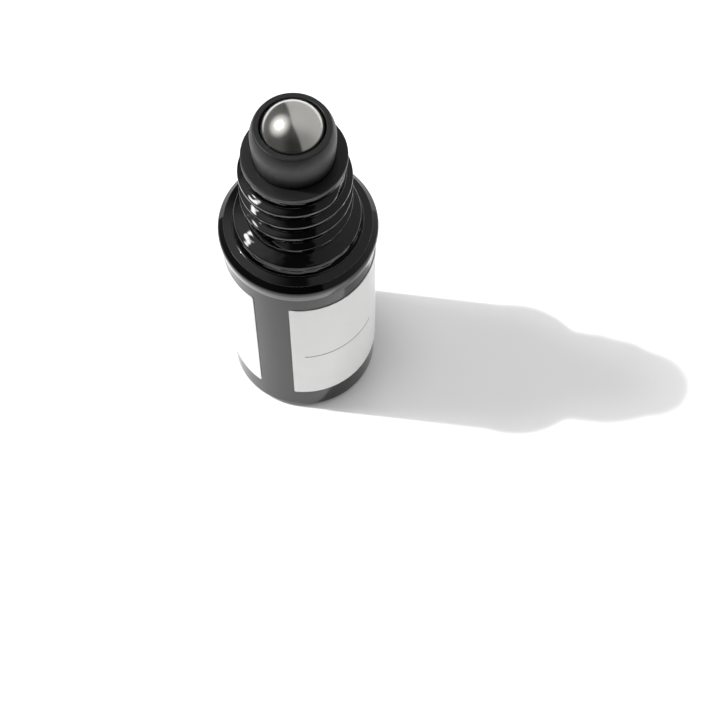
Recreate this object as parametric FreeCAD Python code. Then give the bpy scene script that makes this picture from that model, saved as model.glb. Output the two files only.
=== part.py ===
import FreeCAD, Part
import math
import os

# A glass roll-on bottle: a black glass vial with a screw neck, a wrap-around label, and a
# fitment of a flanged neck plug, a ball housing and a steel ball.
# Millimetres, +Z up, origin at the centre of the base. The front is -Y, and an azimuth is
# counted from the front towards +X.

# Ball and ball housing
BALL_DIA = 9.525              # 3/8 in, a stock ball
BALL_CLEARANCE = 0.10         # all round the ball, in its cup and on its seat
DOME_WALL = 1.04
DOME_HEIGHT = 6.86            # rim above the top of the flange
DOME_ROUND = 3.80             # radius of the dome's upper curve
DOME_DRAW_IN = 0.32           # how much narrower the dome is at its foot
RIM_WIDTH = 0.76              # flat ring round the ball
RIM_STEP = 0.24               # height of the ring above the dome
RIM_LEDGE = 0.08              # ledge at the foot of that step
RIM_EDGE = 0.11
LIP_HEIGHT = 1.76             # the retaining lip above the ball's centre
LIP_BEVEL = 0.38              # height of the bevel from the lip up to the rim
RIM_GAP = 0.31                # gap between ball and rim, at the rim
SEAT_ANGLE = 51.0             # where the seat meets the ball, from straight down
SNAP_HEIGHT = 0.76            # snap bead on the spigot, above the dome's foot
SNAP_BEAD = 0.19
SNAP_CLEARANCE = 0.05

# Neck plug
FLANGE_THICKNESS = 0.95
FLANGE_LEDGE = 1.70           # flange outside the dome's recess
FLANGE_EDGE = 0.19
DOME_RECESS = 0.24            # depth of the recess that the dome stands in
DOME_CREVICE = 0.11           # gap round the dome in that recess
PLUG_LENGTH = 7.15            # below the flange
PLUG_WALL = 0.92
PLUG_GAP = 0.29               # between the plug and the neck's bore
PLUG_LEAD = 0.48              # chamfer at the plug's lower end
RIB_COUNT = 3
RIB_HEIGHT = 0.43             # half the height of a sealing rib on the plug's wall
RIB_CLEARANCE = 0.04          # between a sealing rib and the neck's bore

# Neck and thread, after the 16-415 glass finish
BORE_DIA = 10.2
NECK_WALL = 2.00
NECK_LENGTH = 14.64           # above the face of the transfer bead
NECK_FOOT = 0.67
LIP_ROUND = 0.40
THREAD_DEPTH = 0.90
THREAD_PITCH = 3.175          # 8 threads per inch
THREAD_BASE = 1.58            # width of the ridge at its root
THREAD_CREST = 0.55           # width of the ridge below its rounded crest
THREAD_CROWN = 0.12           # height of that rounded crest
THREAD_BITE = 0.35            # how far the ridge reaches into the neck's wall
THREAD_TOP = 1.71             # upper end of the thread, below the top of the neck
THREAD_FOOT = 2.29            # lower end of the thread, above the face of the bead
THREAD_END_AZIMUTH = 80.0     # azimuth of the upper end
BEAD_PROUD = 1.50             # transfer bead outside the thread
BEAD_HEIGHT = 2.08            # face of the bead
BEAD_DRAFT = 0.35             # how much narrower the bead is at the top of its face
BEAD_SLOPE = 0.91             # rise of the bead's top from that face in to the neck
BEAD_ROUND = 0.28
BEAD_FOOT = 0.34

# Body
SHOULDER_LEDGE = 2.17         # shoulder and its sloped edge, outside the bead
SHOULDER_FALL = 0.38          # fall of the shoulder from the bead out to its step
SHOULDER_WALL = 1.62
STEP_INSET = 0.86             # fine step round the shoulder, inside the band
STEP_DEPTH = 0.11
STEP_ROUND = 0.04
EDGE_FALL = 0.82              # fall of the sloped edge from the step out to the band
EDGE_ROUND = 0.67
BAND_HEIGHT = 2.30            # shoulder band, from its foot to the sloped edge
BAND_TAPER = 0.19             # how much narrower the band is at its foot
BAND_WAIST = 1.52             # height of the tapered part
BAND_EASE = 1.43              # rounding between the tapered and the straight part
BAND_FOOT_ROUND = 0.55
PANEL_RECESS = 0.48           # label panel inside the shoulder band
PANEL_SLOPE = 0.28            # height of the slope from the panel out to the band
PANEL_COVE = 0.19
PANEL_MARGIN = 3.24           # bare panel above the label
BODY_WALL = 1.90
BASE_THICKNESS = 3.05
HEEL_ROUND = 1.24
STANDING_RING = 1.71          # width of the flat ring that the bottle stands on
PUSH_UP = 0.76                # hollow under the base
PUSH_UP_SLOPE = 1.52          # width of the slope at its edge
CHAMBER_ROUND = 1.90
NECK_FLARE = 1.14             # rounded edge where the chamber opens into the neck

# Label
LABEL_BOTTOM = 5.81
LABEL_HEIGHT = 27.53
LABEL_THICKNESS = 0.10
LABEL_GLUE = 0.02
LABEL_GAP_START = -36.0       # azimuths of the bare gap between the label's two ends
LABEL_GAP_END = -7.0
LABEL_CORNER = 0.25

# Radii, from the ball and the bore outwards
ball_r = BALL_DIA / 2
cup_r = ball_r + BALL_CLEARANCE
dome_r = cup_r + DOME_WALL
dome_foot_r = dome_r - DOME_DRAW_IN
recess_r = dome_foot_r + DOME_CREVICE
flange_r = recess_r + FLANGE_LEDGE
spigot_r = cup_r - SNAP_CLEARANCE
seat_r = cup_r * math.sin(math.radians(SEAT_ANGLE))
bore_r = BORE_DIA / 2
plug_r = bore_r - PLUG_GAP
feed_r = plug_r - PLUG_WALL
root_r = bore_r + NECK_WALL
crest_r = root_r + THREAD_DEPTH
bead_r = crest_r + BEAD_PROUD
band_r = bead_r + SHOULDER_LEDGE
step_r = band_r - STEP_INSET
panel_r = band_r - PANEL_RECESS
chamber_r = panel_r - BODY_WALL

# Heights, from the base up
label_top = LABEL_BOTTOM + LABEL_HEIGHT
panel_top = label_top + PANEL_MARGIN
band_foot = panel_top + PANEL_SLOPE
edge_z = band_foot + BAND_HEIGHT
step_z = edge_z + EDGE_FALL
shoulder_z = step_z + STEP_DEPTH + SHOULDER_FALL
chamber_top = shoulder_z - SHOULDER_WALL
bead_top = shoulder_z + BEAD_HEIGHT
neck_top = bead_top + NECK_LENGTH
flange_top = neck_top + FLANGE_THICKNESS
dome_foot = flange_top - DOME_RECESS
rim_z = flange_top + DOME_HEIGHT
lip_z = rim_z - LIP_BEVEL
ball_z = lip_z - LIP_HEIGHT
seat_z = ball_z - cup_r * math.cos(math.radians(SEAT_ANGLE))

UP = FreeCAD.Vector(0, 0, 1)
ORIGIN = FreeCAD.Vector(0, 0, 0)


def at(r, z):
    """A point of a half section, on the +X side."""
    return FreeCAD.Vector(r, 0, z)


def rounded_wire(corners):
    """Close a half section through (radius, height, corner radius) with tangent arcs."""
    edges = []
    ends = []
    for i, (r, z, rounding) in enumerate(corners):
        here = at(r, z)
        to_last = at(*corners[i - 1][:2]).sub(here).normalize()
        to_next = at(*corners[(i + 1) % len(corners)][:2]).sub(here).normalize()
        if rounding == 0:
            ends.append((here, here))
            continue
        half = to_last.getAngle(to_next) / 2
        middle = (to_last + to_next).normalize()
        reach = rounding / math.tan(half)
        start = here + to_last * reach
        stop = here + to_next * reach
        crown = here + middle * (rounding / math.sin(half) - rounding)
        ends.append((start, stop))
        edges.append(Part.Arc(start, crown, stop).toShape())
    for i, (start, stop) in enumerate(ends):
        following = ends[(i + 1) % len(ends)][0]
        if stop.distanceToPoint(following) > 1e-6:
            edges.append(Part.makeLine(stop, following))
    return Part.Wire(Part.__sortEdges__(edges))


def turned(corners, angle=360):
    """Turn a half section about the bottle's axis into a solid."""
    return Part.Face(rounded_wire(corners)).revolve(ORIGIN, UP, angle)


def ring(outer, inner, low, high):
    """A plain ring between two heights."""
    return turned([(inner, low, 0), (outer, low, 0), (outer, high, 0), (inner, high, 0)])


def from_front(shape, azimuth):
    """Turn a shape that was made on +X to an azimuth counted from the front."""
    shape.rotate(ORIGIN, UP, azimuth - 90)
    return shape


def thread_ridge():
    """One right-hand ridge along a helix, with a flat run-out at each end."""
    low = bead_top + THREAD_FOOT
    rise = NECK_LENGTH - THREAD_TOP - THREAD_FOOT
    turn = 360 * rise / THREAD_PITCH
    inside = root_r - THREAD_BITE
    shelf = crest_r - THREAD_CROWN
    base = THREAD_BASE / 2
    crest = THREAD_CREST / 2
    crown = Part.Arc(at(shelf, -crest), at(crest_r, 0), at(shelf, crest)).toShape()
    section = Part.Wire([
        Part.makeLine(at(inside, -base), at(shelf, -crest)),
        crown,
        Part.makeLine(at(shelf, crest), at(inside, base)),
        Part.makeLine(at(inside, base), at(inside, -base)),
    ])
    path = Part.Wire(Part.makeHelix(THREAD_PITCH, rise, root_r))
    ridge = path.makePipeShell([section], True, True)
    for azimuth, height in ((0, 0), (turn, rise)):
        run_out = Part.makeBox(crest_r, 2 * crest_r, THREAD_PITCH)
        run_out.translate(FreeCAD.Vector(root_r - THREAD_BITE / 2, -crest_r, height - THREAD_PITCH / 2))
        run_out.rotate(ORIGIN, UP, azimuth)
        ridge = ridge.cut(run_out)
    ridge.translate(at(0, low))
    return from_front(ridge, THREAD_END_AZIMUTH - turn)


def glass_bottle():
    """Thick-walled vial: recessed label panel, shoulder band, transfer bead, threaded neck."""
    ring_r = panel_r - HEEL_ROUND - STANDING_RING
    blank = turned([
        (0, PUSH_UP, 0),
        (ring_r - PUSH_UP_SLOPE, PUSH_UP, PUSH_UP_SLOPE),
        (ring_r, 0, 0),
        (panel_r, 0, HEEL_ROUND),
        (panel_r, panel_top, PANEL_COVE),
        (band_r - BAND_TAPER, band_foot, BAND_FOOT_ROUND),
        (band_r, band_foot + BAND_WAIST, BAND_EASE),
        (band_r, edge_z, EDGE_ROUND),
        (step_r, step_z, STEP_ROUND),
        (step_r, step_z + STEP_DEPTH, STEP_ROUND),
        (bead_r, shoulder_z, BEAD_FOOT),
        (bead_r - BEAD_DRAFT, bead_top, BEAD_ROUND),
        (root_r, bead_top + BEAD_SLOPE, NECK_FOOT),
        (root_r, neck_top, LIP_ROUND),
        (bore_r, neck_top, LIP_ROUND),
        (bore_r, chamber_top, NECK_FLARE),
        (chamber_r, chamber_top, CHAMBER_ROUND),
        (chamber_r, BASE_THICKNESS, CHAMBER_ROUND),
        (0, BASE_THICKNESS, 0),
    ])
    return blank.fuse(thread_ridge())


def wrap_label():
    """One thin label round the panel, with a bare gap between its ends and rounded corners."""
    inner = panel_r + LABEL_GLUE
    outer = inner + LABEL_THICKNESS
    wrap = 360 - (LABEL_GAP_END - LABEL_GAP_START)
    sheet = turned([
        (inner, LABEL_BOTTOM, 0),
        (outer, LABEL_BOTTOM, 0),
        (outer, label_top, 0),
        (inner, label_top, 0),
    ], wrap)
    corners = [e for e in sheet.Edges if abs(e.Length - LABEL_THICKNESS) < LABEL_THICKNESS / 2]
    return from_front(sheet.makeFillet(LABEL_CORNER, corners), LABEL_GAP_END)


def neck_plug():
    """Flange on the neck's rim, ribbed skirt in its bore, spigot that seats the ball."""
    low = neck_top - PLUG_LENGTH
    skirt = turned([
        (feed_r, low, 0),
        (plug_r - PLUG_LEAD, low, 0),
        (plug_r, low + PLUG_LEAD, 0),
        (plug_r, neck_top, 0),
        (feed_r, neck_top, 0),
    ])
    web = ring(flange_r, min(feed_r, seat_r), neck_top, flange_top)
    rounded = [e for e in web.Edges if abs(e.BoundBox.XLength - 2 * flange_r) < 1e-6]
    web = web.makeFillet(FLANGE_EDGE, [e for e in rounded if e.BoundBox.ZLength < 1e-6])
    recess = ring(recess_r, spigot_r, dome_foot, flange_top)
    spigot_in = min(seat_r, spigot_r - PLUG_WALL / 2)
    spigot = ring(spigot_r, spigot_in, neck_top, seat_z)
    snap_z = dome_foot + SNAP_HEIGHT
    bead = Part.makeTorus(spigot_r, SNAP_BEAD, at(0, snap_z), UP)
    plug = skirt.fuse([web.cut(recess), spigot, bead])
    spacing = PLUG_LENGTH / (RIB_COUNT + 1)
    rib_r = bore_r - RIB_CLEARANCE
    for i in range(RIB_COUNT):
        middle = low + spacing * (i + 1)
        plug = plug.fuse(turned([
            (feed_r, middle - RIB_HEIGHT, 0),
            (plug_r, middle - RIB_HEIGHT, 0),
            (rib_r, middle, 0),
            (plug_r, middle + RIB_HEIGHT, 0),
            (feed_r, middle + RIB_HEIGHT, 0),
        ]))
    seat = Part.makeSphere(cup_r, at(0, ball_z))
    return plug.cut(seat).removeSplitter()


def ball_housing():
    """Dome that stands in the flange's recess, its lip drawn in over the ball."""
    rim_in = math.sqrt(ball_r ** 2 - (rim_z - ball_z) ** 2) + RIM_GAP
    rim_out = rim_in + RIM_WIDTH
    dome_top = rim_z - RIM_STEP
    dome_in = rim_out + RIM_LEDGE
    round_in = dome_r - DOME_ROUND
    round_z = dome_top - math.sqrt(DOME_ROUND ** 2 - (dome_in - round_in) ** 2)
    half = math.acos((dome_in - round_in) / DOME_ROUND) / 2
    bulge = at(round_in + DOME_ROUND * math.cos(half), round_z + DOME_ROUND * math.sin(half))
    wall = round_z - dome_foot
    wall_round = (wall ** 2 + DOME_DRAW_IN ** 2) / (2 * DOME_DRAW_IN)
    lean = math.asin(wall / wall_round) / 2
    waist = at(dome_r - wall_round * (1 - math.cos(lean)), round_z - wall_round * math.sin(lean))
    section = Part.Wire([
        Part.makeLine(at(0, dome_foot), at(dome_foot_r, dome_foot)),
        Part.Arc(at(dome_foot_r, dome_foot), waist, at(dome_r, round_z)).toShape(),
        Part.Arc(at(dome_r, round_z), bulge, at(dome_in, dome_top)).toShape(),
        Part.makeLine(at(dome_in, dome_top), at(rim_out, dome_top)),
        Part.makeLine(at(rim_out, dome_top), at(rim_out, rim_z)),
        Part.makeLine(at(rim_out, rim_z), at(0, rim_z)),
        Part.makeLine(at(0, rim_z), at(0, dome_foot)),
    ])
    dome = Part.Face(section).revolve(ORIGIN, UP, 360)
    rim = [e for e in dome.Edges if e.BoundBox.ZMin > rim_z - 1e-6]
    dome = dome.makeFillet(RIM_EDGE, rim)
    lip_r = math.sqrt(cup_r ** 2 - LIP_HEIGHT ** 2)
    cup = Part.makeSphere(cup_r, at(0, ball_z))
    well = Part.makeCylinder(cup_r, ball_z - dome_foot, at(0, dome_foot))
    bevel = Part.makeCone(lip_r, rim_in, LIP_BEVEL, at(0, lip_z))
    snap_z = dome_foot + SNAP_HEIGHT
    groove = Part.makeTorus(spigot_r, SNAP_BEAD + SNAP_CLEARANCE, at(0, snap_z), UP)
    return dome.cut([cup, well, bevel, groove])


def roller_ball():
    """Solid steel ball."""
    return Part.makeSphere(ball_r, at(0, ball_z))


os.makedirs("parts", exist_ok=True)
for make in (glass_bottle, wrap_label, neck_plug, ball_housing, roller_ball):
    solid = make()
    solid.exportStep("parts/" + make.__name__ + ".step")
    print(make.__name__, "valid" if solid.isValid() else "NOT VALID", "solids", len(solid.Solids),
          "volume %.2f" % solid.Volume, "top %.3f" % solid.BoundBox.ZMax)
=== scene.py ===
import bmesh
import bpy
import math
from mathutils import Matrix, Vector


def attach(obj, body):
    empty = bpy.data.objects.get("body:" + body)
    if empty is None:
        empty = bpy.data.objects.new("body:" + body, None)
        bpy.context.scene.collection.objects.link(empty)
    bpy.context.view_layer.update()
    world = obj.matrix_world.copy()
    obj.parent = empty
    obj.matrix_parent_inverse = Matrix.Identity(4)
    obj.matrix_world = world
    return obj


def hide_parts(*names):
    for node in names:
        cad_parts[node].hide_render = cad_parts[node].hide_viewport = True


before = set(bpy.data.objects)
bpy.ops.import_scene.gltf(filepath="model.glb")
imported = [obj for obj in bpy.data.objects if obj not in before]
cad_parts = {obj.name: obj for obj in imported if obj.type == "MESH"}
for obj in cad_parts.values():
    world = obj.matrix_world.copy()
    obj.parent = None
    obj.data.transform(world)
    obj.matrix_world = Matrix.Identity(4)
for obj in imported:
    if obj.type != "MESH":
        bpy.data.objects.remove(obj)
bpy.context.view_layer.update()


# Glass bottle
# A thick-walled vial of opaque black glass, pressed at the neck and blown in a two-part mould.
# The label panel is sunk below a shoulder band, a fine step runs round the shoulder, and a stout
# transfer bead and a single-start screw thread stand on the neck. Sizes are in millimetres.
MM = 0.001
PUSH_UP = 0.76
PUSH_UP_ROUND = 1.52
RING_R = 8.24
HEEL_ROUND = 1.24
PANEL_R = 11.19
PANEL_TOP = 36.58
PANEL_TOP_ROUND = 0.19
BAND_FOOT = 36.86
BAND_FOOT_IN = 0.19
BAND_FOOT_ROUND = 0.55
BAND_FLARE = 1.52
BAND_R = 11.67
BAND_ROUND = 1.43
EDGE_Z = 39.16
EDGE_ROUND = 0.67
STEP_R = 10.81
STEP_Z = 39.98
STEP_HEIGHT = 0.11
STEP_ROUND = 0.04
SHOULDER_Z = 40.47
BEAD_R = 9.50
BEAD_TOP = 42.55
BEAD_DRAFT = 0.35
BEAD_FOOT_ROUND = 0.34
BEAD_ROUND = 0.28
ROOT_R = 7.10
NECK_FOOT = 43.46
NECK_FOOT_ROUND = 0.67
NECK_TOP = 57.19
NECK_TOP_ROUND = 0.40
BORE_R = 5.10
CHAMBER_R = 9.29
CHAMBER_TOP = 38.85
CHAMBER_ROUND = 1.90
FLARE_ROUND = 1.14
BASE_Z = 3.05
BOTTLE_FACETS = 288
FACET_ANGLE = 8.0
FEWEST_FACETS = 3
SHARP_ANGLE = 40.0
SAME_PLACE = 1e-6
THREAD_PITCH = 3.175
THREAD_LOW = 44.84
THREAD_RISE = 10.64
THREAD_END_AZIMUTH = 80.0
THREAD_FADE = 45.0
THREAD_SUNK = 0.5
THREAD_SUNK_HALF = 1.00
THREAD_SKIRT_HALF = 1.30
THREAD_SKIRT_DIP = 0.06
THREAD_FOOT_HALF = 0.68
THREAD_FOOT_ROUND = 0.30
THREAD_STEPS = 560
CREST_R = 8.00
CREST_HALF = 0.27
CREST_ROUND = 0.20
GLASS_TONE = (0.0006, 0.0006, 0.0007)
GLASS_DUST = (0.008, 0.008, 0.008)
GLASS_IOR = 1.40
RIPPLE_SCALE = (340, 340, 1700)
RIPPLE_FADE = 2.0
RIPPLE_ON_BODY = 0.008


def pick_vertices(piece, places):
    """Select the vertices of the edited piece that lie at some places."""
    drawn = bmesh.from_edit_mesh(piece.data)
    for vertex in drawn.verts:
        nearest = min((vertex.co - place).length for place in places)
        vertex.select_set(nearest < SAME_PLACE)
    drawn.select_flush_mode()
    bmesh.update_edit_mesh(piece.data)


def draw_section(name, corners, closed):
    """Draw half of a turned piece's section, corner by corner, and round each corner."""
    bpy.ops.object.select_all(action="DESELECT")
    bpy.ops.mesh.primitive_plane_add(size=MM)
    piece = bpy.context.object
    piece.name = name
    piece.data.name = name
    places = [Vector((r, 0, z)) * MM for r, z, rounding in corners]
    bpy.ops.object.mode_set(mode="EDIT")
    bpy.ops.mesh.merge(type="CENTER")
    bpy.ops.transform.translate(value=places[0])
    for here, there in zip(places, places[1:]):
        bpy.ops.mesh.extrude_region_move(TRANSFORM_OT_translate={"value": there - here})
    if closed:
        pick_vertices(piece, [places[0], places[-1]])
        bpy.ops.mesh.edge_face_add()
    for n, (r, z, rounding) in enumerate(corners):
        if rounding == 0:
            continue
        to_last = places[n - 1] - places[n]
        to_next = places[(n + 1) % len(places)] - places[n]
        opening = to_last.angle(to_next)
        turned = math.degrees(math.pi - opening)
        pick_vertices(piece, [places[n]])
        bpy.ops.mesh.bevel(
            affect="VERTICES",
            offset=rounding * MM / math.tan(opening / 2),
            segments=max(FEWEST_FACETS, round(turned / FACET_ANGLE)),
        )
    return piece


def turn_section(piece, facets):
    """Turn a drawn section about the bottle's axis into a closed skin."""
    bpy.ops.mesh.select_all(action="SELECT")
    bpy.ops.mesh.spin(steps=facets, angle=2 * math.pi, center=(0, 0, 0), axis=(0, 0, 1))
    bpy.ops.mesh.remove_doubles(threshold=1e-7)
    bpy.ops.mesh.normals_make_consistent(inside=False)
    bpy.ops.object.mode_set(mode="OBJECT")


def smooth(piece):
    """Shade a piece smooth between its sharp edges, with broad faces leading the normals."""
    bpy.ops.object.select_all(action="DESELECT")
    piece.select_set(True)
    bpy.context.view_layer.objects.active = piece
    bpy.ops.object.shade_smooth_by_angle(angle=math.radians(SHARP_ANGLE))
    piece.modifiers.new("broad faces lead", "WEIGHTED_NORMAL").keep_sharp = True
    bpy.ops.object.modifier_apply(modifier="broad faces lead")


bottle = draw_section("black_glass_bottle", [
    (0, PUSH_UP, 0),
    (RING_R - 2 * PUSH_UP, PUSH_UP, PUSH_UP_ROUND),
    (RING_R, 0, 0),
    (PANEL_R, 0, HEEL_ROUND),
    (PANEL_R, PANEL_TOP, PANEL_TOP_ROUND),
    (BAND_R - BAND_FOOT_IN, BAND_FOOT, BAND_FOOT_ROUND),
    (BAND_R, BAND_FOOT + BAND_FLARE, BAND_ROUND),
    (BAND_R, EDGE_Z, EDGE_ROUND),
    (STEP_R, STEP_Z, STEP_ROUND),
    (STEP_R, STEP_Z + STEP_HEIGHT, STEP_ROUND),
    (BEAD_R, SHOULDER_Z, BEAD_FOOT_ROUND),
    (BEAD_R - BEAD_DRAFT, BEAD_TOP, BEAD_ROUND),
    (ROOT_R, NECK_FOOT, NECK_FOOT_ROUND),
    (ROOT_R, NECK_TOP, NECK_TOP_ROUND),
    (BORE_R, NECK_TOP, NECK_TOP_ROUND),
    (BORE_R, CHAMBER_TOP, FLARE_ROUND),
    (CHAMBER_R, CHAMBER_TOP, CHAMBER_ROUND),
    (CHAMBER_R, BASE_Z, CHAMBER_ROUND),
    (0, BASE_Z, 0),
], closed=False)
turn_section(bottle, BOTTLE_FACETS)

# The thread's ridge flows out of the neck with a soft foot on both sides, and sinks into the neck
# over the last part of a turn at either end.
thread = draw_section("thread", [
    (ROOT_R - THREAD_SKIRT_DIP, -THREAD_SKIRT_HALF, 0),
    (ROOT_R, -THREAD_FOOT_HALF, THREAD_FOOT_ROUND),
    (CREST_R, -CREST_HALF, CREST_ROUND),
    (CREST_R, CREST_HALF, CREST_ROUND),
    (ROOT_R, THREAD_FOOT_HALF, THREAD_FOOT_ROUND),
    (ROOT_R - THREAD_SKIRT_DIP, THREAD_SKIRT_HALF, 0),
    (ROOT_R - THREAD_SUNK, THREAD_SUNK_HALF, 0),
    (ROOT_R - THREAD_SUNK, -THREAD_SUNK_HALF, 0),
], closed=True)
bpy.ops.object.mode_set(mode="OBJECT")
turns = THREAD_RISE / THREAD_PITCH
winding = thread.modifiers.new("winding", "SCREW")
winding.angle = 2 * math.pi * turns
winding.screw_offset = THREAD_RISE * MM
winding.steps = THREAD_STEPS
winding.render_steps = THREAD_STEPS
winding.use_merge_vertices = False
bpy.ops.object.modifier_apply(modifier="winding")
sunk = (ROOT_R - THREAD_SUNK) * MM
for vertex in thread.data.vertices:
    r = math.hypot(vertex.co.x, vertex.co.y)
    around = math.degrees(math.atan2(vertex.co.y, vertex.co.x))
    along = around + 360 * round((360 * vertex.co.z / MM / THREAD_PITCH - around) / 360)
    fade = min(1, max(0, min(along, 360 * turns - along) / THREAD_FADE))
    drawn_in = (sunk + (r - sunk) * fade * fade * (3 - 2 * fade)) / r
    vertex.co.x *= drawn_in
    vertex.co.y *= drawn_in
bpy.ops.object.mode_set(mode="EDIT")
bpy.ops.mesh.select_all(action="SELECT")
bpy.ops.transform.rotate(
    value=-math.radians(THREAD_END_AZIMUTH - 360 * turns - 90),
    orient_axis="Z",
    center_override=(0, 0, 0),
)
bpy.ops.transform.translate(value=(0, 0, THREAD_LOW * MM))
bpy.ops.mesh.fill_holes(sides=0)
bpy.ops.mesh.normals_make_consistent(inside=False)
bpy.ops.object.mode_set(mode="OBJECT")
bpy.ops.object.select_all(action="DESELECT")
thread.select_set(True)
bottle.select_set(True)
bpy.context.view_layer.objects.active = bottle
bpy.ops.object.join()
smooth(bottle)


def new_material(name, ior):
    """Start a material whose one shader has an even refractive index."""
    material = bpy.data.materials.new(name)
    material.use_nodes = True
    shader = material.node_tree.nodes["Principled BSDF"]
    shader.inputs["IOR"].default_value = ior
    return material, material.node_tree.nodes, material.node_tree.links, shader


def set_inputs(node, values):
    """Set some of a node's inputs and return the node."""
    for socket, value in values.items():
        node.inputs[socket].default_value = value
    return node


def new_group(name, inputs, outputs):
    """Start a node group with named sockets and return it with its two ends."""
    group = bpy.data.node_groups.new(name, "ShaderNodeTree")
    for socket, value in inputs:
        made = group.interface.new_socket(socket, in_out="INPUT", socket_type="NodeSocketFloat")
        made.default_value = value
    for socket in outputs:
        group.interface.new_socket(socket, in_out="OUTPUT", socket_type="NodeSocketFloat")
    return group, group.nodes.new("NodeGroupInput"), group.nodes.new("NodeGroupOutput")


def use_group(nodes, group, values):
    """Add a shared effect to a material, with its own values."""
    node = nodes.new("ShaderNodeGroup")
    node.node_tree = group
    return set_inputs(node, values)


def joined(nodes, links, operation, first, second):
    """Join a value with a number or with another value by one operation."""
    node = nodes.new("ShaderNodeMath")
    node.operation = operation
    links.new(first, node.inputs[0])
    if isinstance(second, float):
        node.inputs[1].default_value = second
    else:
        links.new(second, node.inputs[1])
    return node.outputs["Value"]


def two_tones(nodes, links, factor, first, second):
    """A colour that goes from a first to a second tone."""
    node = nodes.new("ShaderNodeMix")
    node.data_type = "RGBA"
    set_inputs(node, {"A": (*first, 1), "B": (*second, 1)})
    links.new(factor, node.inputs["Factor"])
    return node.outputs["Result"]


# Handling marks: a soft haze from fingers with fine dust on top of it.
handling, handling_in, handling_out = new_group("handling marks", [
    ("Haze Size", 140.0),
    ("Dust Size", 2600.0),
    ("Clean", 0.03),
    ("Worn", 0.10),
], ["Roughness", "Dust"])
place = handling.nodes.new("ShaderNodeTexCoord")
haze = set_inputs(handling.nodes.new("ShaderNodeTexNoise"), {"Detail": 4.0})
haze_range = handling.nodes.new("ShaderNodeMapRange")
set_inputs(haze_range, {"From Min": 0.35, "From Max": 0.75})
specks = handling.nodes.new("ShaderNodeTexVoronoi")
specks_range = handling.nodes.new("ShaderNodeMapRange")
set_inputs(specks_range, {"From Min": 0.10, "From Max": 0.02})
handling.links.new(place.outputs["Object"], haze.inputs["Vector"])
handling.links.new(handling_in.outputs["Haze Size"], haze.inputs["Scale"])
handling.links.new(haze.outputs["Fac"], haze_range.inputs["Value"])
handling.links.new(handling_in.outputs["Clean"], haze_range.inputs["To Min"])
handling.links.new(handling_in.outputs["Worn"], haze_range.inputs["To Max"])
handling.links.new(haze_range.outputs["Result"], handling_out.inputs["Roughness"])
handling.links.new(place.outputs["Object"], specks.inputs["Vector"])
handling.links.new(handling_in.outputs["Dust Size"], specks.inputs["Scale"])
handling.links.new(specks.outputs["Distance"], specks_range.inputs["Value"])
handling.links.new(specks_range.outputs["Result"], handling_out.inputs["Dust"])

# The body is blown smooth, while the pressed neck keeps a fine ripple that is drawn out round it.
glass, nodes, links, shader = new_material("black glass", GLASS_IOR)
marks = use_group(nodes, handling, {"Clean": 0.02, "Worn": 0.06})
links.new(marks.outputs["Roughness"], shader.inputs["Roughness"])
glass_tone = two_tones(nodes, links, marks.outputs["Dust"], GLASS_TONE, GLASS_DUST)
links.new(glass_tone, shader.inputs["Base Color"])
place = nodes.new("ShaderNodeTexCoord")
spot = nodes.new("ShaderNodeSeparateXYZ")
pressed = set_inputs(nodes.new("ShaderNodeMapRange"), {
    "From Min": (BEAD_TOP - RIPPLE_FADE) * MM,
    "From Max": BEAD_TOP * MM,
    "To Min": RIPPLE_ON_BODY,
    "To Max": 1.0,
})
drawn_out = set_inputs(nodes.new("ShaderNodeMapping"), {"Scale": RIPPLE_SCALE})
ripple = set_inputs(nodes.new("ShaderNodeTexNoise"), {"Scale": 1.0, "Detail": 1.0})
swell = joined(nodes, links, "MULTIPLY", ripple.outputs["Fac"], pressed.outputs["Result"])
ripple_bump = set_inputs(nodes.new("ShaderNodeBump"), {"Strength": 0.6, "Distance": 0.0002})
links.new(place.outputs["Object"], spot.inputs["Vector"])
links.new(spot.outputs["Z"], pressed.inputs["Value"])
links.new(place.outputs["Object"], drawn_out.inputs["Vector"])
links.new(drawn_out.outputs["Vector"], ripple.inputs["Vector"])
links.new(swell, ripple_bump.inputs["Height"])
links.new(ripple_bump.outputs["Normal"], shader.inputs["Normal"])
bottle.data.materials.append(glass)
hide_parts("glass_bottle")
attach(bottle, "bottle")


# Label
# One strip of white film with a satin face, die-cut with slightly rounded corners and rolled
# round the sunk panel, so that a bare stretch of glass shows between its two ends. One fine grey
# rule is printed across its front.
LABEL_LOW = 5.81
LABEL_HEIGHT = 27.53
LABEL_IN = 11.21
LABEL_THICK = 0.10
LABEL_FROM = -7.0
LABEL_WRAP = 331.0
LABEL_CORNER = 0.25
LABEL_COLUMNS = 480
LABEL_ROWS = 8
RULE_Z = 18.2
RULE_THICK = 0.24
RULE_START_X = 0.6
RULE_END_Y = -4.5
RULE_INK = (0.12, 0.12, 0.12, 1)
FILM_TONE = (0.93, 0.93, 0.92)
FILM_CLOUD = (0.90, 0.90, 0.89)
FILM_IOR = 1.48

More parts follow.
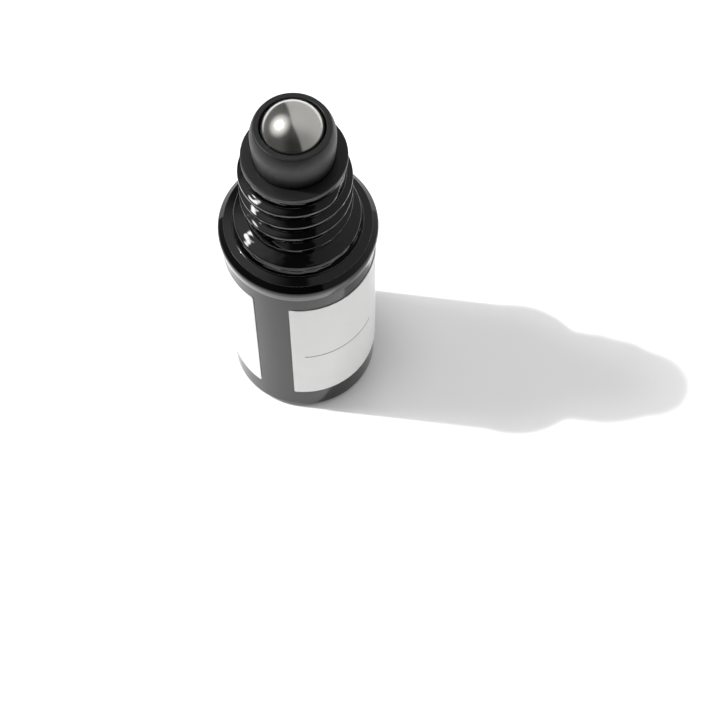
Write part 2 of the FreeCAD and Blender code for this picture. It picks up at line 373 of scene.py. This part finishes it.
label_wide = math.radians(LABEL_WRAP) * LABEL_IN * MM
label_high = LABEL_HEIGHT * MM
corner = LABEL_CORNER * MM
bpy.ops.object.select_all(action="DESELECT")
bpy.ops.mesh.primitive_grid_add(
    x_subdivisions=LABEL_COLUMNS, y_subdivisions=LABEL_ROWS, size=1,
)
label = bpy.context.object
label.name = "wrap_label_film"
label.data.name = "wrap_label_film"
bpy.ops.object.mode_set(mode="EDIT")
bpy.ops.transform.resize(value=(label_wide, label_high, 1))
sheet = bmesh.from_edit_mesh(label.data)
for vertex in sheet.verts:
    at_edge = label_high / 2 - abs(vertex.co.y) < SAME_PLACE
    into_corner = corner - (label_wide / 2 - abs(vertex.co.x))
    if at_edge and into_corner > 0:
        cut = corner - math.sqrt(max(0, corner ** 2 - into_corner ** 2))
        vertex.co.y -= math.copysign(cut, vertex.co.y)
bmesh.update_edit_mesh(label.data)
bpy.ops.object.mode_set(mode="OBJECT")
film = label.modifiers.new("film", "SOLIDIFY")
film.thickness = LABEL_THICK * MM
film.offset = 1
bpy.ops.object.modifier_apply(modifier="film")
for vertex in label.data.vertices:
    azimuth = math.radians(LABEL_FROM + LABEL_WRAP / 2) + vertex.co.x / (LABEL_IN * MM)
    r = LABEL_IN * MM + vertex.co.z
    height = LABEL_LOW * MM + label_high / 2 + vertex.co.y
    vertex.co = (r * math.sin(azimuth), -r * math.cos(azimuth), height)
smooth(label)

# Fine grain: the spark-eroded texture of a mould, or the tooth of a film.
grain, grain_in, grain_out = new_group("fine grain", [
    ("Grain Size", 6000.0),
    ("Smooth", 0.4),
    ("Rough", 0.6),
], ["Roughness", "Height"])
place = grain.nodes.new("ShaderNodeTexCoord")
tooth = set_inputs(grain.nodes.new("ShaderNodeTexNoise"), {"Detail": 3.0, "Roughness": 0.6})
tooth_range = grain.nodes.new("ShaderNodeMapRange")
set_inputs(tooth_range, {"From Min": 0.3, "From Max": 0.7})
grain.links.new(place.outputs["Object"], tooth.inputs["Vector"])
grain.links.new(grain_in.outputs["Grain Size"], tooth.inputs["Scale"])
grain.links.new(tooth.outputs["Fac"], tooth_range.inputs["Value"])
grain.links.new(grain_in.outputs["Smooth"], tooth_range.inputs["To Min"])
grain.links.new(grain_in.outputs["Rough"], tooth_range.inputs["To Max"])
grain.links.new(tooth_range.outputs["Result"], grain_out.inputs["Roughness"])
grain.links.new(tooth.outputs["Fac"], grain_out.inputs["Height"])


def grained(nodes, links, shader, size, smooth_end, rough_end, relief):
    """Give a shader the fine grain's roughness and relief."""
    texture = use_group(nodes, grain, {
        "Grain Size": size,
        "Smooth": smooth_end,
        "Rough": rough_end,
    })
    bump = set_inputs(nodes.new("ShaderNodeBump"), {"Strength": relief, "Distance": 0.00005})
    links.new(texture.outputs["Roughness"], shader.inputs["Roughness"])
    links.new(texture.outputs["Height"], bump.inputs["Height"])
    links.new(bump.outputs["Normal"], shader.inputs["Normal"])


white_film, nodes, links, shader = new_material("satin white film", FILM_IOR)
grained(nodes, links, shader, size=9000.0, smooth_end=0.38, rough_end=0.52, relief=0.08)
place = nodes.new("ShaderNodeTexCoord")
cloud = set_inputs(nodes.new("ShaderNodeTexNoise"), {"Scale": 320.0})
links.new(place.outputs["Object"], cloud.inputs["Vector"])
film_tone = two_tones(nodes, links, cloud.outputs["Fac"], FILM_TONE, FILM_CLOUD)
spot = nodes.new("ShaderNodeSeparateXYZ")
links.new(place.outputs["Object"], spot.inputs["Vector"])
on_rule = nodes.new("ShaderNodeMath")
on_rule.operation = "COMPARE"
on_rule.inputs[1].default_value = RULE_Z * MM
on_rule.inputs[2].default_value = RULE_THICK / 2 * MM
links.new(spot.outputs["Z"], on_rule.inputs[0])
past_start = joined(nodes, links, "GREATER_THAN", spot.outputs["X"], RULE_START_X * MM)
before_end = joined(nodes, links, "LESS_THAN", spot.outputs["Y"], RULE_END_Y * MM)
on_front = joined(nodes, links, "MINIMUM", past_start, before_end)
printed = joined(nodes, links, "MINIMUM", on_rule.outputs["Value"], on_front)
ink = nodes.new("ShaderNodeMix")
ink.data_type = "RGBA"
ink.inputs["B"].default_value = RULE_INK
links.new(printed, ink.inputs["Factor"])
links.new(film_tone, ink.inputs["A"])
links.new(ink.outputs["Result"], shader.inputs["Base Color"])
label.data.materials.append(white_film)
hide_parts("wrap_label")
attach(label, "bottle")


# Neck plug
# An injection-moulded plug in matte black plastic. Its flange rests on the neck's rim, three ribs
# seal it in the bore, and a spigot with a snap bead stands up inside the ball housing.
PLUG_LENGTH = 7.15
PLUG_R = 4.81
PLUG_END_ROUND = 0.10
LEAD_IN = 0.48
RIB_COUNT = 3
RIB_R = 5.06
RIB_HALF = 0.43
RIB_FOOT_ROUND = 0.08
RIB_TIP_ROUND = 0.05
FEED_R = 3.89
FLANGE_R = 7.39
FLANGE_TOP = 58.14
FLANGE_ROUND = 0.19
RECESS_R = 5.69
RECESS_EDGE_ROUND = 0.06
RECESS_FOOT_ROUND = 0.04
DOME_FOOT = 57.90
SPIGOT_R = 4.81
SPIGOT_ROUND = 0.10
SNAP_Z = 58.66
SNAP_HALF = 0.19
SNAP_PROUD = 0.19
SNAP_FOOT_ROUND = 0.06
SNAP_TIP_ROUND = 0.10
SEAT_R = 3.78
SEAT_Z = 59.80
SEAT_ROUND = 0.08
FEED_STEP_ROUND = 0.05
FITMENT_FACETS = 224
PLASTIC_IOR = 1.42

plug_low = NECK_TOP - PLUG_LENGTH
ribs = []
for rib in range(RIB_COUNT):
    middle = plug_low + PLUG_LENGTH / (RIB_COUNT + 1) * (rib + 1)
    ribs += [
        (PLUG_R, middle - RIB_HALF, RIB_FOOT_ROUND),
        (RIB_R, middle, RIB_TIP_ROUND),
        (PLUG_R, middle + RIB_HALF, RIB_FOOT_ROUND),
    ]
plug = draw_section("flanged_neck_plug", [
    (FEED_R, plug_low, PLUG_END_ROUND),
    (PLUG_R - LEAD_IN, plug_low, PLUG_END_ROUND),
    (PLUG_R, plug_low + LEAD_IN, PLUG_END_ROUND),
    *ribs,
    (PLUG_R, NECK_TOP, 0),
    (FLANGE_R, NECK_TOP, FLANGE_ROUND),
    (FLANGE_R, FLANGE_TOP, FLANGE_ROUND),
    (RECESS_R, FLANGE_TOP, RECESS_EDGE_ROUND),
    (RECESS_R, DOME_FOOT, RECESS_FOOT_ROUND),
    (SPIGOT_R, DOME_FOOT, RECESS_FOOT_ROUND),
    (SPIGOT_R, SNAP_Z - SNAP_HALF, SNAP_FOOT_ROUND),
    (SPIGOT_R + SNAP_PROUD, SNAP_Z, SNAP_TIP_ROUND),
    (SPIGOT_R, SNAP_Z + SNAP_HALF, SNAP_FOOT_ROUND),
    (SPIGOT_R, SEAT_Z, SPIGOT_ROUND),
    (SEAT_R, SEAT_Z, SEAT_ROUND),
    (SEAT_R, NECK_TOP, FEED_STEP_ROUND),
    (FEED_R, NECK_TOP, FEED_STEP_ROUND),
], closed=True)
turn_section(plug, FITMENT_FACETS)
smooth(plug)


def black_plastic(name, tone, dusty, dust_size, grain_size, smooth_end, rough_end, relief):
    """A black moulded plastic with a fine grain and a little dust."""
    material, nodes, links, shader = new_material(name, PLASTIC_IOR)
    grained(nodes, links, shader, grain_size, smooth_end, rough_end, relief)
    dust = use_group(nodes, handling, {"Dust Size": dust_size})
    plastic_tone = two_tones(nodes, links, dust.outputs["Dust"], tone, dusty)
    links.new(plastic_tone, shader.inputs["Base Color"])
    return material


plug.data.materials.append(black_plastic(
    "matte black plastic",
    tone=(0.006, 0.0058, 0.0053),
    dusty=(0.06, 0.056, 0.052),
    dust_size=1900.0,
    grain_size=3800.0,
    smooth_end=0.36,
    rough_end=0.48,
    relief=0.70,
))
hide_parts("neck_plug")
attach(plug, "fitment")


# Ball housing
# A moulded dome in satin black plastic, drawn in a little at its foot and snapped over the plug's
# spigot. A flat ring stands proud round its mouth, and the lip inside is drawn in over the ball.
BALL_R = 4.7625
BALL_Z = 62.86
CUP_R = 4.86
CUP_ROUND = 4.71
DOME_R = 5.90
DOME_FOOT_R = 5.58
DOME_FOOT_ROUND = 0.06
DOME_WAIST_Z = 60.39
DOME_WALL_ROUND = 34.0
DOME_TOP = 64.76
DOME_CROWN = 0.875
DOME_CROWN_ROUND = 3.78
RIM_Z = 65.00
RIM_IN = 4.565
RIM_OUT = 5.325
RIM_ROUND = 0.11
RIM_LEDGE = 0.08
RIM_FOOT_ROUND = 0.03
LIP_Z = 64.62
LIP_ROUND = 0.03
GROOVE_HALF = 0.235
GROOVE_EDGE_ROUND = 0.05

lip_rise = LIP_Z - BALL_Z
lip_r = math.sqrt(CUP_R ** 2 - lip_rise ** 2)
cup_corner = CUP_R * math.tan(math.asin(lip_rise / CUP_R) / 2)
housing = draw_section("ball_housing_dome", [
    (CUP_R, DOME_FOOT, DOME_FOOT_ROUND),
    (DOME_FOOT_R, DOME_FOOT, DOME_FOOT_ROUND),
    (DOME_R, DOME_WAIST_Z, DOME_WALL_ROUND),
    (DOME_R, DOME_TOP - DOME_CROWN, DOME_CROWN_ROUND),
    (RIM_OUT + RIM_LEDGE, DOME_TOP, 0),
    (RIM_OUT, DOME_TOP, RIM_FOOT_ROUND),
    (RIM_OUT, RIM_Z, RIM_ROUND),
    (RIM_IN, RIM_Z, RIM_ROUND),
    (lip_r, LIP_Z, LIP_ROUND),
    (CUP_R, BALL_Z + cup_corner, CUP_ROUND),
    (CUP_R, SNAP_Z + GROOVE_HALF, GROOVE_EDGE_ROUND),
    (CUP_R + SNAP_PROUD, SNAP_Z, SNAP_TIP_ROUND),
    (CUP_R, SNAP_Z - GROOVE_HALF, GROOVE_EDGE_ROUND),
], closed=True)
turn_section(housing, FITMENT_FACETS)
smooth(housing)
housing.data.materials.append(black_plastic(
    "satin black plastic",
    tone=(0.007, 0.007, 0.007),
    dusty=(0.05, 0.048, 0.046),
    dust_size=1500.0,
    grain_size=7300.0,
    smooth_end=0.38,
    rough_end=0.48,
    relief=0.14,
))
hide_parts("ball_housing")
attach(housing, "fitment")


# Ball
# A ground and tumbled steel ball, 3/8 in across, with a satin polish. It sits loose in the
# housing, on the plug's seat and under the lip.
BLANK_SIZE = 1.2 * BALL_R
BALL_LEVELS = 6
STEEL_TONE = (0.57, 0.56, 0.53)
STEEL_DULL = (0.54, 0.53, 0.505)
STEEL_IOR = 2.5

bpy.ops.object.select_all(action="DESELECT")
bpy.ops.mesh.primitive_cube_add(size=BLANK_SIZE * MM, location=(0, 0, BALL_Z * MM))
ball = bpy.context.object
ball.name = "steel_ball"
ball.data.name = "steel_ball"
facets = ball.modifiers.new("facets", "SUBSURF")
facets.subdivision_type = "SIMPLE"
facets.levels = BALL_LEVELS
facets.render_levels = BALL_LEVELS
bpy.ops.object.modifier_apply(modifier="facets")
grinding = ball.modifiers.new("grinding", "CAST")
grinding.cast_type = "SPHERE"
grinding.factor = 1
grinding.size = BALL_R * MM
grinding.use_radius_as_size = False
bpy.ops.object.modifier_apply(modifier="grinding")
bpy.ops.object.transform_apply(location=True, rotation=True, scale=True)
bpy.ops.object.shade_smooth()

steel, nodes, links, shader = new_material("satin steel", STEEL_IOR)
shader.inputs["Metallic"].default_value = 1
place = nodes.new("ShaderNodeTexCoord")
polish = set_inputs(nodes.new("ShaderNodeTexNoise"), {"Scale": 14000.0, "Detail": 4.0})
polish_range = set_inputs(nodes.new("ShaderNodeMapRange"), {
    "From Min": 0.3,
    "From Max": 0.7,
    "To Min": 0.09,
    "To Max": 0.26,
})
links.new(place.outputs["Object"], polish.inputs["Vector"])
links.new(polish.outputs["Fac"], polish_range.inputs["Value"])
links.new(polish_range.outputs["Result"], shader.inputs["Roughness"])
steel_tone = two_tones(nodes, links, polish.outputs["Fac"], STEEL_TONE, STEEL_DULL)
links.new(steel_tone, shader.inputs["Base Color"])
ball.data.materials.append(steel)
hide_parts("roller_ball")
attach(ball, "ball")


# Floor
# A plain pale tabletop. It is lifted to white for the camera and in the glass and steel, and it
# keeps the bottle's shadow. Near the bottle the lift is dimmed by ambient occlusion, which paints
# a contact shade on the floor. Its sizes are in metres.
FLOOR_SIZE = 0.5
FLOOR_TONE = (0.88, 0.88, 0.88, 1)
FLOOR_LIFT = 0.19
PAINTED_SHADE_REACH = 0.012

bpy.ops.object.select_all(action="DESELECT")
bpy.ops.mesh.primitive_plane_add(size=FLOOR_SIZE)
floor = bpy.context.object
floor.name = "tabletop"
table = bpy.data.materials.new("tabletop")
table.use_nodes = True
nodes = table.node_tree.nodes
links = table.node_tree.links
nodes.remove(nodes["Principled BSDF"])
top = set_inputs(nodes.new("ShaderNodeBsdfDiffuse"), {"Color": FLOOR_TONE})
rays = nodes.new("ShaderNodeLightPath").outputs
mirrored = joined(nodes, links, "MAXIMUM", rays["Is Camera Ray"], rays["Is Glossy Ray"])
lifted = joined(nodes, links, "MAXIMUM", mirrored, rays["Is Transmission Ray"])
# Painted contact shade: ambient occlusion darkens the floor's white lift within this reach of the
# bottle.
painted_contact_shade = set_inputs(nodes.new("ShaderNodeAmbientOcclusion"), {"Distance": PAINTED_SHADE_REACH})
lift_less_painted_shade = joined(nodes, links, "MULTIPLY", painted_contact_shade.outputs["AO"], FLOOR_LIFT)
white = nodes.new("ShaderNodeEmission")
both = nodes.new("ShaderNodeAddShader")
links.new(joined(nodes, links, "MULTIPLY", lifted, lift_less_painted_shade), white.inputs["Strength"])
links.new(top.outputs["BSDF"], both.inputs[0])
links.new(white.outputs["Emission"], both.inputs[1])
links.new(both.outputs["Shader"], nodes["Material Output"].inputs["Surface"])
floor.data.materials.append(table)


# Light
# A hard low lamp from the left for the long shadow, with a soft glow round it, in a dim room that
# opens to a broad bright wall on the right and behind.
LAMP_TOWARDS = Vector((-0.657, 0.085, 0.749))
LAMP_ENERGY = 2.6
LAMP_ANGLE = 1.2
HALO_LEVEL = 1.0
CORE_LEVEL = 36.0
ROOM_LEVEL = 0.04
CEILING_LEVEL = 0.08
REAR_LEVEL = 0.08
LEFT_LEVEL = 0.08
WALL_FRONT_LEVEL = 0.34
WALL_REAR_LEVEL = 0.58
WALL_REAR_SLANT = 0.20
WALL_FRONT_SLANT = 0.53
CAMERA_LEVEL = 1.0

bpy.ops.object.light_add(type="SUN", location=LAMP_TOWARDS * 0.5)
lamp = bpy.context.object
lamp.name = "lamp"
lamp.rotation_euler = LAMP_TOWARDS.to_track_quat("Z", "Y").to_euler()
lamp.data.energy = LAMP_ENERGY
lamp.data.angle = math.radians(LAMP_ANGLE)

room = bpy.context.scene.world or bpy.data.worlds.new("room")
bpy.context.scene.world = room
room.use_nodes = True
nodes = room.node_tree.nodes
links = room.node_tree.links
nodes.clear()


def ramp(nodes, links, source, low, high, to_low, to_high):
    """A smooth ramp of one value, held at both ends."""
    node = set_inputs(nodes.new("ShaderNodeMapRange"), {
        "From Min": low,
        "From Max": high,
        "To Min": to_low,
        "To Max": to_high,
    })
    node.interpolation_type = "SMOOTHSTEP"
    links.new(source, node.inputs["Value"])
    return node.outputs["Result"]


towards = nodes.new("ShaderNodeTexCoord").outputs["Generated"]
parts = nodes.new("ShaderNodeSeparateXYZ")
links.new(towards, parts.inputs["Vector"])
right = parts.outputs["X"]
back = parts.outputs["Y"]
up = parts.outputs["Z"]
ceiling = ramp(nodes, links, up, 0.5, 0.95, ROOM_LEVEL, CEILING_LEVEL)
rear = ramp(nodes, links, back, -0.4, 0.5, 0.0, REAR_LEVEL)
left = ramp(nodes, links, right, -0.1, -0.7, 0.0, LEFT_LEVEL)
rear_slant = joined(nodes, links, "MULTIPLY", back, WALL_REAR_SLANT)
past_rear_edge = joined(nodes, links, "ADD", right, rear_slant)
front_slant = joined(nodes, links, "MULTIPLY", back, WALL_FRONT_SLANT)
past_front_edge = joined(nodes, links, "ADD", right, front_slant)
in_rear_edge = ramp(nodes, links, past_rear_edge, -0.03, 0.03, 0.0, 1.0)
in_front_edge = ramp(nodes, links, past_front_edge, -0.04, 0.04, 0.0, 1.0)
wall = joined(nodes, links, "MINIMUM", in_rear_edge, in_front_edge)
wall_tone = ramp(nodes, links, back, -0.7, 0.1, WALL_FRONT_LEVEL, WALL_REAR_LEVEL)
wall_light = joined(nodes, links, "MULTIPLY", wall, wall_tone)
to_lamp = nodes.new("ShaderNodeVectorMath")
to_lamp.operation = "DOT_PRODUCT"
to_lamp.inputs[1].default_value = LAMP_TOWARDS.normalized()
links.new(towards, to_lamp.inputs[0])
halo = ramp(nodes, links, to_lamp.outputs["Value"], 0.76, 0.985, 0.0, HALO_LEVEL)
core = ramp(nodes, links, to_lamp.outputs["Value"], 0.992, 0.999, 0.0, CORE_LEVEL)
level = ceiling
for added in (rear, left, wall_light, halo, core):
    level = joined(nodes, links, "ADD", level, added)
seen = nodes.new("ShaderNodeMix")
seen.inputs["B"].default_value = CAMERA_LEVEL
links.new(nodes.new("ShaderNodeLightPath").outputs["Is Camera Ray"], seen.inputs["Factor"])
links.new(level, seen.inputs["A"])
light = set_inputs(nodes.new("ShaderNodeBackground"), {"Color": (1, 1, 1, 1)})
links.new(seen.outputs["Result"], light.inputs["Strength"])
links.new(light.outputs["Background"], nodes.new("ShaderNodeOutputWorld").inputs["Surface"])


# Camera
# It looks down on the bottle from the front, as a person at the table would, through a long lens
# that keeps the bottle's sides nearly straight. Its place is in metres.
CAMERA_PLACE = (0.00895, -0.13764, 0.27775)
CAMERA_TILT = 25.88
LENS = 95
SENSOR_WIDTH = 36

bpy.ops.object.camera_add(location=CAMERA_PLACE, rotation=(math.radians(CAMERA_TILT), 0, 0))
camera = bpy.context.object
camera.data.lens = LENS
camera.data.sensor_width = SENSOR_WIDTH
camera.data.clip_start = 0.01
bpy.context.scene.camera = camera
bpy.context.scene.view_settings.view_transform = "Standard"
